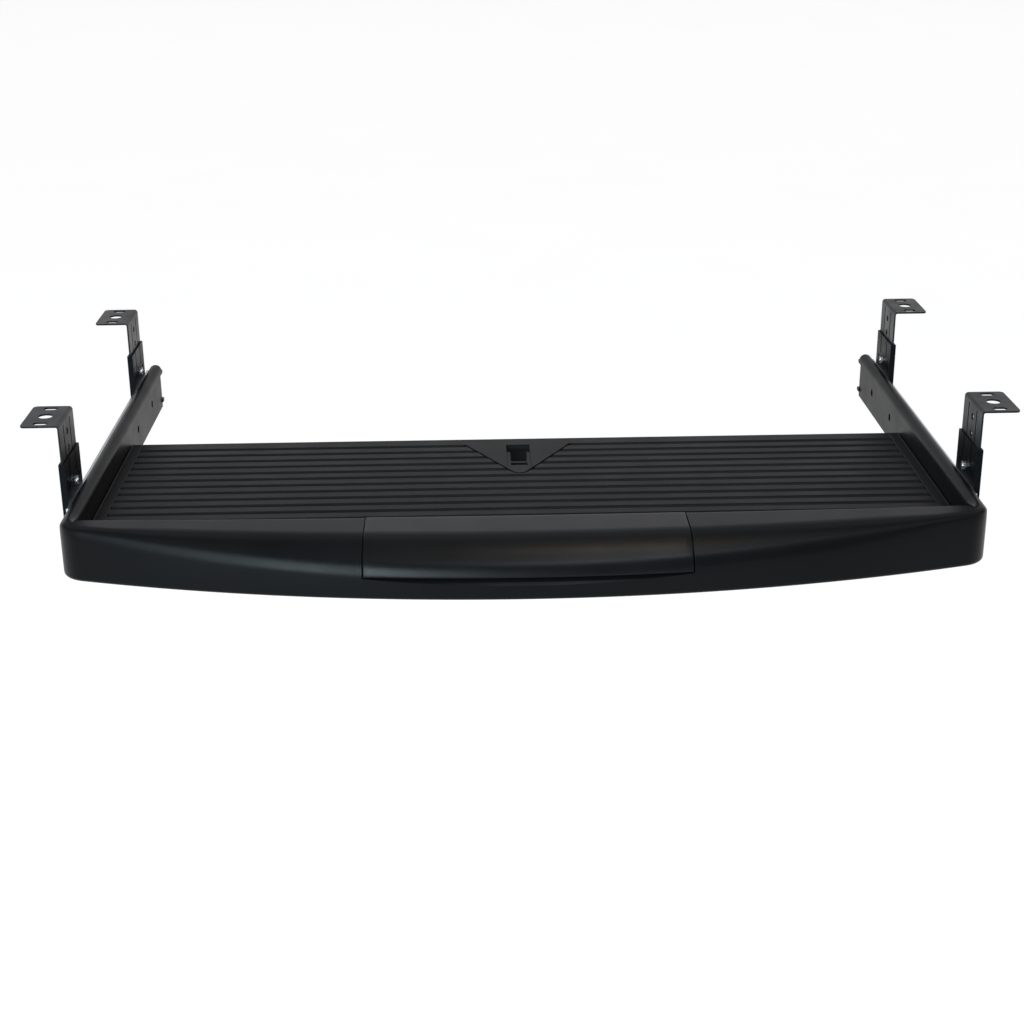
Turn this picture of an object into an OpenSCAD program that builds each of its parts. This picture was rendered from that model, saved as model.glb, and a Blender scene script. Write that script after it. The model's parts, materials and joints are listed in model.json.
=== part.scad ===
// Keyboard tray that hangs under a desk on four height brackets and two ball slides.
// X runs to the right, Y to the back and Z up. The origin is the centre of the four
// round desk holes, on the underside of the desk. All sizes are in millimetres.

/* [Tray frame] */
// Clear width between the side walls
deck_w = 547.6; // [420:0.2:660]
// Depth of the deck from the lip to its rear edge
deck_d = 190; // [150:1:220]
// Thickness of the deck plate
deck_t = 3; // [2.4:0.1:3.6]
// Depth of the deck's top below the rim
well_h = 18.2; // [16:0.2:19]
// Height of the tray frame from its rim to its bottom edge
frame_h = 34.5; // [33.5:0.5:40]
// Distance from the lip back to the slides' front ends
rail_setback = 32; // [26:1:60]
// Thickness of the side walls beside the deck
arm_t = 3.7; // [3.4:0.1:6]
// Thickness of the rear plate of an arm
plate_t = 2; // [1.6:0.1:2.4]
// Width of the half-round rim along an arm
rim_w = 9.4; // [9:0.2:11]
// Diameter of the open holes in an arm's rear plate
arm_hole_d = 5.5; // [4:0.1:7]
// Distance from the desk's underside down to the rim
rim_drop = 46; // [45:0.5:60]

/* [Palm rest] */
// Depth of the palm rest at its middle
palm_d = 55; // [50:1:70]
// How far the bowed front falls back at the sides
bow_drop = 42.5; // [32:0.5:46]
// Radius of the front corners in plan
corner_r = 20; // [14:1:24]
// Dip of the top at the middle, below the rim at the sides
lip_dip = 2; // [0:0.1:3]
// Depth of the flat band behind the slope, at the middle
band_mid = 30.8; // [24:0.2:34]
// Depth of the flat band at the sides
band_end = 11.9; // [8:0.1:14]
// Fall from the rim to the crease, at the middle
crease_mid = 17; // [12:0.5:20]
// Fall from the rim to the crease at the sides
crease_end = 1; // [0.6:0.1:3]
// Length of the soft blend between the flat band and the slope
crest_blend = 6; // [4:0.5:11]
// Length of the soft blend above the crease
crease_blend = 8; // [4:0.5:9]
// Length of the soft blend below the crease
crease_under = 8; // [4:0.5:9]
// Wall thickness of the moulding
palm_wall = 3; // [2.4:0.1:3.6]
// Number of cells between the stiffening webs under the palm rest
palm_cells = 10; // [8:2:12]

/* [Centre panel] */
// Width of the centre panel
panel_w = 195; // [150:1:240]
// Thickness of the centre panel
panel_t = 2; // [1.6:0.1:2.6]
// How far the panel stands proud of the palm rest
panel_proud = 0.4; // [0:0.1:0.8]
// Distance from the rim down to the panel's front edge
panel_drop = 19.9; // [19:0.1:21]
// Straight height of the panel's front edge
panel_skirt = 0.5; // [0.3:0.1:1]
// Depth of the finger scoop under the panel's front edge
finger_gap = 3.6; // [3:0.2:5]
// Height of the finger scoop at its middle
finger_h = 4.1; // [2:0.1:6]

/* [Deck pattern] */
// Spacing of the deck's grooves
groove_pitch = 12.3; // [9:0.1:18]
// Width of a groove at the deck's top
groove_w = 5.2; // [3:0.1:6.5]
// Depth of a groove
groove_h = 1.7; // [0.8:0.1:1.9]
// Plain margin beside the grooves
side_margin = 8.2; // [6:0.2:12]
// Distance from the deck's rear edge to the first groove
rear_margin = 13.6; // [11:0.1:20]
// Width of the channel along the triangle's slanted sides
channel_w = 1.4; // [1:0.1:2]
// Height of the two half-round beads beside the grooves
edge_bead = 0.5; // [0.4:0.1:1]
// Width of the plain triangle round the cable opening
triangle_w = 73; // [60:1:100]
// Depth of the plain triangle
triangle_d = 64; // [58:1:90]
// Width of the cable opening
cable_w = 16.4; // [14:0.2:20]
// Depth of the cable opening
cable_d = 45.6; // [40:0.2:50]
// Width of the notch that holds the cable
notch_w = 11.3; // [8:0.1:12]

/* [Slides] */
// Length of a slide
rail_l = 300; // [280:5:340]
// Height of a slide
rail_h = 27; // [25:0.5:28]
// Thickness of a slide
rail_w = 8.5; // [8:0.1:10]
// Sheet thickness of the slide members
rail_t = 1.2; // [1:0.1:1.3]
// Diameter of a bearing ball
ball_d = 2.6; // [2.2:0.1:2.7]
// Number of balls in each row
balls_per_row = 8; // [5:1:8]
// Spacing of the balls
ball_pitch = 10; // [8:0.5:10]
// Distance from a slide's rear end to its first screw hole
screw_inset = 45.5; // [30:0.5:60]
// Distance from a slide's front end to its last screw hole
screw_front_inset = 14.5; // [8:0.5:30]

/* [Brackets] */
// Distance from a slide's ends to the middle of the brackets
bracket_inset = 30; // [24:1:60]
// Width of an upper bracket
bracket_w = 41; // [38:0.5:44]
// Sheet thickness of an upper bracket
upper_t = 1.2; // [1:0.1:1.6]
// Sheet thickness of a lower bracket
lower_t = 1.2; // [1:0.1:1.6]
// Reach of the desk flange beyond the post
flange_reach = 23.2; // [20:0.2:28]
// Distance from the post to the line of desk holes
hole_reach = 11.4; // [10:0.2:14]
// Diameter of the round desk holes
desk_hole_d = 9.2; // [6:0.1:10]
// Length of the desk slots
desk_slot_l = 9; // [7:0.5:12]
// Width of the desk slots
desk_slot_w = 5; // [4:0.1:5.5]
// Distance of the desk slots from the round hole
desk_slot_offset = 15; // [13.5:0.5:15.5]
// Length of a post below the desk
post_l = 52; // [50:0.5:56]
// Distance from the desk down to the top of a lower bracket
sleeve_drop = 25.2; // [24:0.2:27]
// Distance from the desk down to the height bolts
bolt_drop = 43; // [42:0.5:43.5]
// Height travel of the tray
height_travel = 14; // [8:0.5:15]
// Spacing of the holes in a post
post_pitch = 11; // [11:0.1:11.6]
// Diameter of the height bolts
bolt_d = 4; // [3.5:0.1:5]

/* [Fits] */
// Gap between parts that slide on flat faces
slide_gap = 0.2; // [0.15:0.05:0.3]
// Gap between fixed mouldings
seat_gap = 0.3; // [0.2:0.05:0.4]
// Radial gap round fixed fasteners
hole_gap = 0.05; // [0.03:0.01:0.1]
// Gap beside a bolt that moves in its slot
slot_gap = 0.3; // [0.3:0.05:0.5]
// Gap between the balls and the slide members
ball_gap = 0.3; // [0.3:0.05:0.4]
// Gap between a rim and the slide below it
rim_gap = 0.5; // [0.4:0.1:0.8]

/* [Hidden] */
$fn = 48;

LEFT = -1;
RIGHT = 1;
FRONT = -1;
REAR = 1;
PLASTIC = [0.11, 0.11, 0.12];
PANEL_GREY = [0.15, 0.15, 0.16];
STEEL_BLACK = [0.07, 0.07, 0.08];
ZINC = [0.72, 0.73, 0.75];
RUBBER = [0.05, 0.05, 0.05];

// Distances from the middle, going outwards
wall_x = deck_w / 2;
rim_r = rim_w / 2;
rim_x = wall_x + rim_r;
half_w = wall_x + rim_w;
arm_x = wall_x + arm_t;
sleeve_x = arm_x + rail_w;
post_x = sleeve_x + lower_t + slide_gap;
post_out_x = post_x + upper_t;
hook_x = post_out_x + slide_gap;
flange_x = post_out_x + flange_reach;
hole_x = post_out_x + hole_reach;

// Heights
rim_z = -rim_drop;
rim_c_z = rim_z - rim_r;
bottom_z = rim_z - frame_h;
deck_z = rim_z - well_h;
deck_low_z = deck_z - deck_t;
rail_top_z = rim_c_z - rim_gap;
rail_z = rail_top_z - rail_h / 2;
sleeve_top_z = -sleeve_drop;
sleeve_low_z = rail_z - rail_h / 2 - 0.5;
bolt_z = -bolt_drop;

// Distances from front to back
arm_end_y = rail_l / 2;
lip_y = -arm_end_y - rail_setback;
front_y = lip_y - palm_d;
deck_rear_y = lip_y + deck_d;
tail_d = 12;
tail_y = lip_y + tail_d;
step_y = deck_rear_y + 9;
bracket_y = arm_end_y - bracket_inset;
holes = 5;
open_holes = 2;
screw_pitch = (rail_l - screw_inset - screw_front_inset) / (holes - 1);
screw_y = [for (i = [0:holes - 1]) arm_end_y - screw_inset - i * screw_pitch];

// Palm rest: plan of the bowed front
bow_r = (half_w * half_w + bow_drop * bow_drop) / (2 * bow_drop);
corner_x = half_w - corner_r;
corner_y = front_y + bow_r - sqrt(pow(bow_r - corner_r, 2) - corner_x * corner_x);
bow_end_x = corner_x * bow_r / (bow_r - corner_r);
lip_r = 1.5;
foot_r = 3;
panel_low_z = rim_z - panel_drop;
recess_h = panel_t + seat_gap - panel_proud;
recess_x = panel_w / 2 + seat_gap;
step_w = 0.1;

// Fasteners
screw_d = 3;
screw_head_d = 5.6;
screw_head_h = 1;
rivet_d = 4;
rivet_y = 12;
bolt_head_w = 8;
bolt_head_h = 3;
nut_d = 5.6;
nut_h = 2.4;
deck_screw_z = bottom_z + 8;
tongue_t = 3.5;
tongue_l = 30;
deck_screw_y = [for (i = [0:2]) lip_y + tongue_l + 10 + i * (deck_d - tongue_l - 32) / 2];
weld = 0.5;
rim_under = 0.2;
frame_screw_y = lip_y + tail_d / 2;
frame_screw_z = [bottom_z + 3.4, bottom_z + 10];
frame_screw_l = 11;

function square_of(v) = v * v;
function share(x) = square_of(x / half_w);

// Front edge of the palm rest in plan
function front_edge(x) = abs(x) <= bow_end_x
    ? front_y + bow_r - sqrt(bow_r * bow_r - x * x)
    : corner_y - sqrt(max(0, corner_r * corner_r - square_of(abs(x) - corner_x)));

// Height of the half-round rim at a distance from the middle
function rim_round(x) = rim_c_z + sqrt(max(0, rim_r * rim_r - square_of(abs(x) - rim_x)));
function rim_at(x) = abs(x) <= rim_x ? rim_z - lip_dip * (1 - share(x / rim_x * half_w)) : rim_round(x);
function back_at(x) = abs(x) < wall_x ? lip_y : tail_y;
function back_top(x) = abs(x) < wall_x ? rim_at(x) : rim_round(x);
function back_r(x) = abs(x) < wall_x ? lip_r : lip_r / 30;

// Front edge of the flat band and fall from the top to the crease
function crest_at(x) = max(lip_y - band_mid + (band_mid - band_end) * share(x),
    mix(front_edge(x), tail_y, 0.18));
function crease_z(x) = rim_at(abs(x) > rim_x ? x : rim_x) - crease_mid + (crease_mid - crease_end) * share(x);
function crease_fall(x) = rim_at(x) - crease_z(x);

function mix(a, b, t) = a + (b - a) * t;
function blend(a, b, c, n, end = 1) = [for (i = [0:n]) let (t = end * i / n) mix(mix(a, b, t), mix(b, c, t), t)];

// Share of a blend that lies above the panel's front edge
function skirt_end(a, b, c) = let (
        bend = a[1] - 2 * b[1] + c[1],
        fall = b[1] - a[1],
        to_go = a[1] - panel_low_z - panel_skirt
    ) (-fall - sqrt(fall * fall - bend * to_go)) / bend;

// Top of a slice, from the lip over the crest to the foot of the slope, and the ends of its crease blend
function slope_of(x, drop, setback) = let (
        back = back_at(x),
        r = back_r(x),
        top = rim_at(x) - drop,
        rear_top = back_top(x) - drop,
        crest = [crest_at(x), top],
        face = front_edge(x),
        edge = face + setback,
        crease = [edge, top - crease_fall(x) * (crest[0] - edge) / (crest[0] - face)],
        run = norm(crease - crest),
        down = (crease - crest) / run,
        soft = min(crest_blend, 0.45 * run, 0.8 * (back - lip_r - crest[0])),
        hard = min(crease_blend, 0.45 * run),
        flat_end = crest[0] + soft,
        rise = abs(x) < wall_x ? mix(back - lip_r, flat_end, 1 / 3) : mix(tail_y, flat_end, 0.3),
        level = abs(x) < wall_x ? mix(back - lip_r, flat_end, 2 / 3) : mix(tail_y, flat_end, 0.8)
    ) [
        concat(
            [[back, rear_top - r], [back - 0.3 * r, rear_top - 0.3 * r]],
            [[back - r, rear_top], [rise, rear_top], [level, top]],
            blend([flat_end, top], crest, crest + down * soft, 4)
        ),
        [crease - down * hard, crease]
    ];

// One upright slice of the palm rest: full outside, or lowered and set back where the panel sits
function palm_slice(x) = let (
        seat = abs(x) <= recess_x,
        s = slope_of(x, seat ? recess_h : 0, seat ? finger_gap : 0),
        face = front_edge(x),
        start = s[1][0],
        crease = s[1][1],
        foot = crease - [0, crease_under],
        skin = blend(start, crease, foot, 4, seat ? skirt_end(start, crease, foot) : 1),
        scoop_z = panel_low_z - 0.8,
        scoop_low_z = scoop_z - mix(finger_h, 0.2, square_of(x / recess_x)),
        step = seat
            ? [[skin[4][0], scoop_z], [face, scoop_low_z]]
            : [for (i = [1, 2]) [face, foot[1] - i]]
    ) concat(
        [[back_at(x), bottom_z]],
        s[0],
        skin,
        step,
        [[face, bottom_z + foot_r], [face + 0.3 * foot_r, bottom_z + 0.3 * foot_r], [face + foot_r, bottom_z]]
    );

// Inside of one cell under the palm rest
function cell_slice(x, drop, setback) = let (
        top = rim_at(x) - drop - palm_wall,
        crest = crest_at(x),
        face = front_edge(x),
        edge = face + setback + palm_wall,
        fall = crease_fall(x) * (crest - edge) / (crest - face)
    ) [
        [lip_y - palm_wall, bottom_z - 1],
        [lip_y - palm_wall, top],
        [crest, top],
        [edge, top - fall - crease_blend / 4],
        [edge, bottom_z - 1]
    ];

// Panel skin at an offset from the palm rest's outer shape, cut off at the panel's front edge
function panel_skin(x, offset) = let (
        s = slope_of(x, offset, offset),
        start = s[1][0],
        crease = s[1][1],
        foot = crease - [0, crease_under]
    ) concat(s[0], blend(start, crease, foot, 4, skirt_end(start, crease, foot)));

// Solid lofted through slices that all have the same number of points
module loft(xs, slices) {
    m = len(slices[0]);
    n = len(xs);
    points = [for (i = [0:n - 1]) for (p = slices[i]) [xs[i], p[0], p[1]]];
    sides = [for (i = [0:n - 2]) for (j = [0:m - 1]) let (k = (j + 1) % m)
        each [[i * m + j, (i + 1) * m + j, (i + 1) * m + k], [i * m + j, (i + 1) * m + k, i * m + k]]];
    first = [[for (j = [0:m - 1]) j]];
    last = [[for (j = [m - 1:-1:0]) (n - 1) * m + j]];
    polyhedron(points, concat(sides, first, last), convexity = 8);
}

// Extrusion along Y of an outline drawn in X and Z
module along_y(y0, y1) {
    translate([0, y1, 0]) rotate([90, 0, 0]) linear_extrude(y1 - y0) children();
}

// Extrusion along X of an outline drawn in Y and Z
module along_x(x0, x1) {
    translate([x0, 0, 0]) rotate([90, 0, 90]) linear_extrude(x1 - x0) children();
}

// Round bar along X
module bar_x(x0, x1, y, z, d) {
    translate([x0, y, z]) rotate([0, 90, 0]) cylinder(h = x1 - x0, d = d);
}

module box(x0, x1, y0, y1, z0, z1) {
    translate([x0, y0, z0]) cube([x1 - x0, y1 - y0, z1 - z0]);
}

// Shapes are drawn for the right side and mirrored to the left
module on_side(side) {
    mirror([side == LEFT ? 1 : 0, 0, 0]) children();
}

module on_corners() {
    for (side = [LEFT, RIGHT]) for (end = [FRONT, REAR]) on_side(side) translate([0, end * bracket_y, 0]) children();
}

// Stations along X for the palm rest, with close pairs at each step in its shape
corner_xs = [half_w, half_w - 0.8, half_w - 2.4, rim_x, rim_x - rim_r / 2, wall_x + step_w / 2,
    wall_x - step_w / 2, wall_x - 6, corner_x - 3];
wing_n = 9;
wing_xs = [for (i = [0:wing_n]) mix(corner_x - 14, recess_x + step_w, i / wing_n)];
mid_n = 12;
mid_xs = [for (i = [0:mid_n]) mix(-recess_x, recess_x, i / mid_n)];
side_xs = concat(corner_xs, wing_xs);
left_xs = [for (x = side_xs) -x];
right_xs = [for (i = [len(side_xs) - 1:-1:0]) side_xs[i]];
palm_xs = concat(left_xs, mid_xs, right_xs);
palm_slices = [for (x = palm_xs) palm_slice(x)];

cell_end_x = wall_x - 7;
cell_web = 2.2;
cell_step = 2 * cell_end_x / palm_cells;

module palm_cell(i) {
    x0 = -cell_end_x + i * cell_step + cell_web / 2;
    x1 = x0 + cell_step - cell_web;
    xs = [x0, (x0 + x1) / 2, x1];
    near = min(abs(x0), abs(x1)) < recess_x || x0 * x1 < 0;
    drop = near ? recess_h : 0;
    setback = near ? finger_gap : 0;
    loft(xs, [for (x = xs) cell_slice(x, drop, setback)]);
}

module palm_rest() {
    color(PLASTIC) difference() {
        loft(palm_xs, palm_slices);
        for (i = [0:palm_cells - 1]) palm_cell(i);
        for (side = [LEFT, RIGHT]) on_side(side) for (z = frame_screw_z)
            bar_x(wall_x - 1, wall_x + frame_screw_l - tongue_t + 1, frame_screw_y, z, screw_d + 2 * hole_gap);
    }
}

module centre_panel() {
    xs = [for (i = [0:mid_n]) mix(-panel_w / 2, panel_w / 2, i / mid_n)];
    slices = [for (x = xs) let (
            skin = panel_skin(x, -panel_proud),
            core = panel_skin(x, panel_t - panel_proud),
            last = len(skin) - 1
        ) concat(
            skin,
            [[skin[last][0], panel_low_z], [core[last][0], panel_low_z]],
            [for (i = [last:-1:0]) core[i]]
        )];
    color(PANEL_GREY) loft(xs, slices);
}

// Side arm: half-round rim, wall beside the deck, set-back rear plate and a tongue into the palm rest
module rim_outline() {
    intersection() {
        translate([rim_x, rim_c_z]) circle(r = rim_r);
        translate([wall_x, rim_c_z - rim_under]) square([rim_w, rim_r + rim_under]);
    }
}

module side_arm(side) {
    plate_x = arm_x - plate_t;
    lip_low_z = rim_c_z - 2.5;
    peg = 2.6;
    color(PLASTIC) on_side(side) difference() {
        union() {
            along_y(tail_y, arm_end_y - rim_r) rim_outline();
            intersection() {
                translate([rim_x, arm_end_y - rim_r, rim_c_z]) sphere(r = rim_r);
                box(wall_x, half_w, arm_end_y - rim_r - weld, arm_end_y, rim_c_z - rim_under, rim_z);
            }
            box(wall_x, arm_x, tail_y, step_y, bottom_z, rim_c_z);
            box(wall_x, arm_x, step_y - weld, arm_end_y - 1, lip_low_z, rim_c_z);
            box(plate_x, arm_x, step_y - weld, arm_end_y - 2, bottom_z, rim_c_z - weld);
            box(plate_x - 1, arm_x, arm_end_y - 2 - peg, arm_end_y + 1, bottom_z + 4, bottom_z + 4 + peg);
            box(wall_x - tongue_t, wall_x, lip_y, lip_y + tongue_l, bottom_z, deck_low_z - seat_gap);
            box(wall_x - tongue_t, wall_x + weld, tail_y, lip_y + tongue_l, bottom_z, deck_low_z - seat_gap);
        }
        for (i = [0:holes - 1]) bar_x(wall_x - 1, arm_x + 1, screw_y[i], rail_z,
            i < open_holes ? arm_hole_d : screw_d + 2 * hole_gap);
        for (y = deck_screw_y) bar_x(wall_x - 1, arm_x - 0.6, y, deck_screw_z, screw_d + 2 * hole_gap);
        for (z = frame_screw_z) bar_x(wall_x - tongue_t - 1, wall_x + 1, frame_screw_y, z, screw_d + 2 * hole_gap);
    }
}

// Deck: grooved plate with skirts and stiffening ribs below it
deck_front_y = lip_y + seat_gap;
deck_x = wall_x - seat_gap;
skirt_t = 3;
skirt_low_z = bottom_z + 3;
web_t = 2;
web_low_z = deck_low_z - 8;
groove_r = (square_of(groove_w / 2) + groove_h * groove_h) / (2 * groove_h);
groove_n = floor((deck_d - rear_margin - groove_w) / groove_pitch) + 1;
cable_rear_y = deck_rear_y - 12.4;
cable_front_y = cable_rear_y - cable_d;
triangle_rear_y = deck_rear_y - 11;
triangle_tip_r = 5;
field_x = wall_x - side_margin;
field_rear_y = deck_rear_y - rear_margin + groove_w / 2 + channel_w;
field_front_y = field_rear_y - groove_w - 2 * channel_w - (groove_n - 1) * groove_pitch;
bead_x = [deck_x - edge_bead - 0.2, field_x + edge_bead + 0.2];

// Triangle that points to the front, with a rounded tip, grown on its two slanted sides
module triangle_outline(grow) {
    slope = atan2(triangle_d, triangle_w / 2);
    half = triangle_w / 2 + grow / sin(slope);
    tip_r = triangle_tip_r + grow;
    tip_c = triangle_rear_y - triangle_d + triangle_tip_r / cos(slope);
    arc_n = 8;
    arc = [for (i = [0:arc_n]) let (a = mix(-slope, slope, i / arc_n)) [tip_r * sin(a), tip_c - tip_r * cos(a)]];
    polygon(concat([[half, triangle_rear_y], [-half, triangle_rear_y]], arc));
}

module deck_grooves() {
    for (i = [0:groove_n - 1]) {
        bar_x(-field_x, field_x, deck_rear_y - rear_margin - i * groove_pitch,
            deck_z - groove_h + groove_r, 2 * groove_r);
    }
}

// Narrow channel along the slanted sides of the triangle
module triangle_channel() {
    depth = 0.7 * groove_h;
    translate([0, 0, deck_z - depth]) linear_extrude(depth + 1) difference() {
        intersection() {
            triangle_outline(channel_w);
            translate([-field_x, field_front_y]) square([2 * field_x, field_rear_y - field_front_y]);
        }
        triangle_outline(0);
    }
}

module ribbed_deck() {
    cross_n = 3;
    long_n = 5;
    rib_top_z = deck_low_z + weld;
    web_x = [for (i = [1:long_n]) mix(cable_w, deck_x, i / (long_n + 1))];
    end_x = web_x[long_n - 1];
    color(PLASTIC) difference() {
        union() {
            box(-deck_x, deck_x, deck_front_y, deck_rear_y, deck_low_z, deck_z);
            for (side = [LEFT, RIGHT]) on_side(side) {
                box(deck_x - skirt_t, deck_x, lip_y + tongue_l + seat_gap, deck_rear_y, skirt_low_z, rib_top_z);
                for (x = bead_x) translate([x, deck_rear_y - weld, deck_z]) rotate([90, 0, 0])
                    cylinder(h = deck_rear_y - deck_front_y - 2 * weld, r = edge_bead);
            }
            box(-deck_x, deck_x, deck_rear_y - skirt_t, deck_rear_y, bottom_z, rib_top_z);
            for (i = [1:cross_n]) let (y = mix(lip_y + tongue_l, cable_front_y, (i - 0.5) / cross_n)) {
                box(-end_x, end_x, y - web_t, y, web_low_z, rib_top_z);
            }
            for (x = web_x) for (s = [LEFT, RIGHT]) {
                box(s * x - web_t / 2, s * x + web_t / 2, lip_y + tongue_l, deck_rear_y - weld,
                    web_low_z, rib_top_z);
            }
        }
        difference() {
            deck_grooves();
            translate([0, 0, deck_z - 2 * groove_h]) linear_extrude(4 * groove_h)
                triangle_outline(channel_w / 2);
        }
        triangle_channel();
        box(-cable_w / 2, cable_w / 2, cable_front_y, cable_rear_y, web_low_z - 1, deck_z + 1);
        for (side = [LEFT, RIGHT]) on_side(side) for (y = deck_screw_y) {
            bar_x(deck_x - skirt_t - 1, deck_x + 1, y, deck_screw_z, screw_d + 2 * hole_gap);
        }
    }
}

// Cable clip: insert with a notch for the cable and a ramp in front of it
module cable_clip() {
    notch_d = 17.2;
    ramp_d = 12;
    ramp_h = 2;
    nose = 2.6;
    clip_x = cable_w / 2 - slide_gap;
    y0 = cable_front_y + slide_gap;
    y1 = y0 + ramp_d + notch_d;
    flange_w = 1.8;
    flange_z = deck_low_z - slide_gap;
    color(PLASTIC) difference() {
        union() {
            box(-clip_x, clip_x, y0, y1, flange_z - flange_w, deck_z);
            box(-clip_x - flange_w, clip_x + flange_w, y0 - flange_w, y1, flange_z - flange_w, flange_z);
        }
        box(-notch_w / 2, notch_w / 2, y0 + ramp_d, y1 + 1, flange_z - flange_w - 1, deck_z + 1);
        along_x(-notch_w / 2, notch_w / 2) polygon([[y0 + 1, deck_z], [y0 + ramp_d - nose, deck_z - ramp_h],
            [y0 + ramp_d - nose, deck_z - ramp_h / 3], [y0 + ramp_d + 1, deck_z - ramp_h / 3],
            [y0 + ramp_d + 1, deck_z + 1], [y0 + 1, deck_z + 1]]);
    }
}

// Upper bracket: desk flange and post from one bent sheet, with two pressed flutes
flute_r = 1;
flute_y = 9;

module slot_outline(l, w) {
    translate([-(l - w) / 2, -w / 2]) square([l - w, w]);
    for (s = [-1, 1]) translate([s * (l - w) / 2, 0]) circle(d = w);
}

module bend_outline(bend_r) {
    inner_r = bend_r;
    outer_r = bend_r + upper_t;
    difference() {
        translate([post_x, -post_l]) square([flange_x - post_x, post_l]);
        difference() {
            translate([post_out_x, -post_l - 1]) square([flange_reach + 1, post_l + 1 - upper_t]);
            difference() {
                translate([post_out_x, -upper_t - inner_r]) square(inner_r);
                translate([post_out_x + inner_r, -upper_t - inner_r]) circle(r = inner_r);
            }
        }
        difference() {
            translate([post_x - 1, -outer_r]) square(outer_r + 1);
            translate([post_x + outer_r, -outer_r]) circle(r = outer_r);
            translate([post_x + outer_r, -outer_r]) square(outer_r + 2);
        }
    }
}

module upper_bracket(side, end) {
    bend_r = 1;
    flange_r = 3;
    post_hole_d = 4.5;
    color(STEEL_BLACK) on_side(side) translate([0, end * bracket_y, 0]) difference() {
        along_y(-bracket_w / 2, bracket_w / 2) bend_outline(bend_r);
        for (s = [0, 1]) mirror([0, s, 0]) translate([flange_x - flange_r, bracket_w / 2 - flange_r, -upper_t - 1])
            linear_extrude(upper_t + 2) difference() {
                square(flange_r + 1);
                circle(r = flange_r);
            }
        translate([hole_x, 0, -upper_t - 1]) cylinder(h = upper_t + 2, d = desk_hole_d);
        for (s = [-1, 1]) translate([hole_x, s * desk_slot_offset, -upper_t - 1]) linear_extrude(upper_t + 2)
            slot_outline(desk_slot_l, desk_slot_w);
        for (s = [-1, 1]) translate([post_x - flute_r / 2, s * flute_y, -post_l - 1])
            cylinder(h = post_l - upper_t - bend_r, r = flute_r);
        for (i = [2, 3]) bar_x(post_x - 1, post_out_x + 1, 0, bolt_z + i * post_pitch, post_hole_d);
        translate([post_x - 1, 0, bolt_z + height_travel / 2]) rotate([0, 90, 0]) linear_extrude(upper_t + 2)
            slot_outline(height_travel + bolt_d + 2 * slot_gap, bolt_d + 2 * slot_gap);
    }
}

// Lower bracket: channel whose web carries the slide and whose edges hook round the post
module lower_bracket(side, end) {
    hook_w = 7;
    half = bracket_w / 2 + slide_gap;
    spare_hole_d = 3;
    spare_hole_y = 14;
    color(STEEL_BLACK) on_side(side) translate([0, end * bracket_y, 0]) difference() {
        translate([0, 0, sleeve_low_z]) linear_extrude(sleeve_top_z - sleeve_low_z) union() {
            translate([sleeve_x, -half - lower_t]) square([lower_t, 2 * (half + lower_t)]);
            for (s = [0, 1]) mirror([0, s]) {
                translate([sleeve_x, half]) square([hook_x + lower_t - sleeve_x, lower_t]);
                translate([hook_x, half + lower_t - hook_w]) square([lower_t, hook_w]);
            }
        }
        bar_x(sleeve_x - 1, sleeve_x + lower_t + 1, 0, bolt_z, bolt_d + 2 * hole_gap);
        for (s = [-1, 1]) bar_x(sleeve_x - 1, sleeve_x + lower_t + 1, s * spare_hole_y, bolt_z, spare_hole_d);
        for (s = [-1, 1]) translate([sleeve_x - flute_r / 2, s * flute_y, bolt_z + 3])
            cylinder(h = sleeve_top_z - bolt_z, r = flute_r);
        for (s = [-1, 1]) bar_x(sleeve_x - 1, sleeve_x + lower_t + 1, s * rivet_y, rail_z, rivet_d + 2 * hole_gap);
    }
}

// Slides: an outer channel on the brackets, an inner channel on the arm and balls between them
race_z = rail_h / 2 - rail_t - ball_gap - ball_d / 2;
inner_half = race_z - ball_d / 2 - ball_gap;
cage_t = 0.6;
ball_x = sleeve_x - rail_t - ball_gap - ball_d / 2;
cage_x = sleeve_x - rail_t - slide_gap;
inner_tip_x = cage_x - cage_t - slide_gap;
outer_tip_x = ball_x - ball_d / 2 - ball_gap - rail_t;
bumper_l = 6;
inner_end_y = arm_end_y - bumper_l - 2 * seat_gap;

module outer_outline() {
    difference() {
        translate([outer_tip_x, rail_z - rail_h / 2]) square([sleeve_x - outer_tip_x, rail_h]);
        translate([outer_tip_x + rail_t, rail_z - rail_h / 2 + rail_t])
            square([sleeve_x - outer_tip_x - 2 * rail_t, rail_h - 2 * rail_t]);
        translate([outer_tip_x - 1, rail_z - inner_half - 1.6]) square([rail_t + 2, 2 * (inner_half + 1.6)]);
    }
}

module outer_rail(side) {
    tab = 1.2;
    color(ZINC) on_side(side) difference() {
        union() {
            along_y(-arm_end_y, arm_end_y) outer_outline();
            box(cage_x - tab, sleeve_x - rail_t + weld, -arm_end_y, -arm_end_y + 1.5, rail_z - 5, rail_z + 5);
        }
        for (end = [FRONT, REAR]) for (s = [-1, 1])
            bar_x(sleeve_x - rail_t - 1, sleeve_x + 1, end * bracket_y + s * rivet_y, rail_z, rivet_d + 2 * hole_gap);
    }
}

module inner_rail(side) {
    color(ZINC) on_side(side) difference() {
        along_y(-arm_end_y, inner_end_y) difference() {
            translate([arm_x, rail_z - inner_half]) square([inner_tip_x - arm_x, 2 * inner_half]);
            translate([arm_x + rail_t, rail_z - inner_half + rail_t]) square([rail_w, 2 * (inner_half - rail_t)]);
        }
        for (y = screw_y) bar_x(arm_x - 1, arm_x + rail_t + 1, y, rail_z, screw_d + 2 * hole_gap);
    }
}

function ball_y(i) = (i - (balls_per_row - 1) / 2) * ball_pitch;
cage_l = balls_per_row * ball_pitch;

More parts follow.
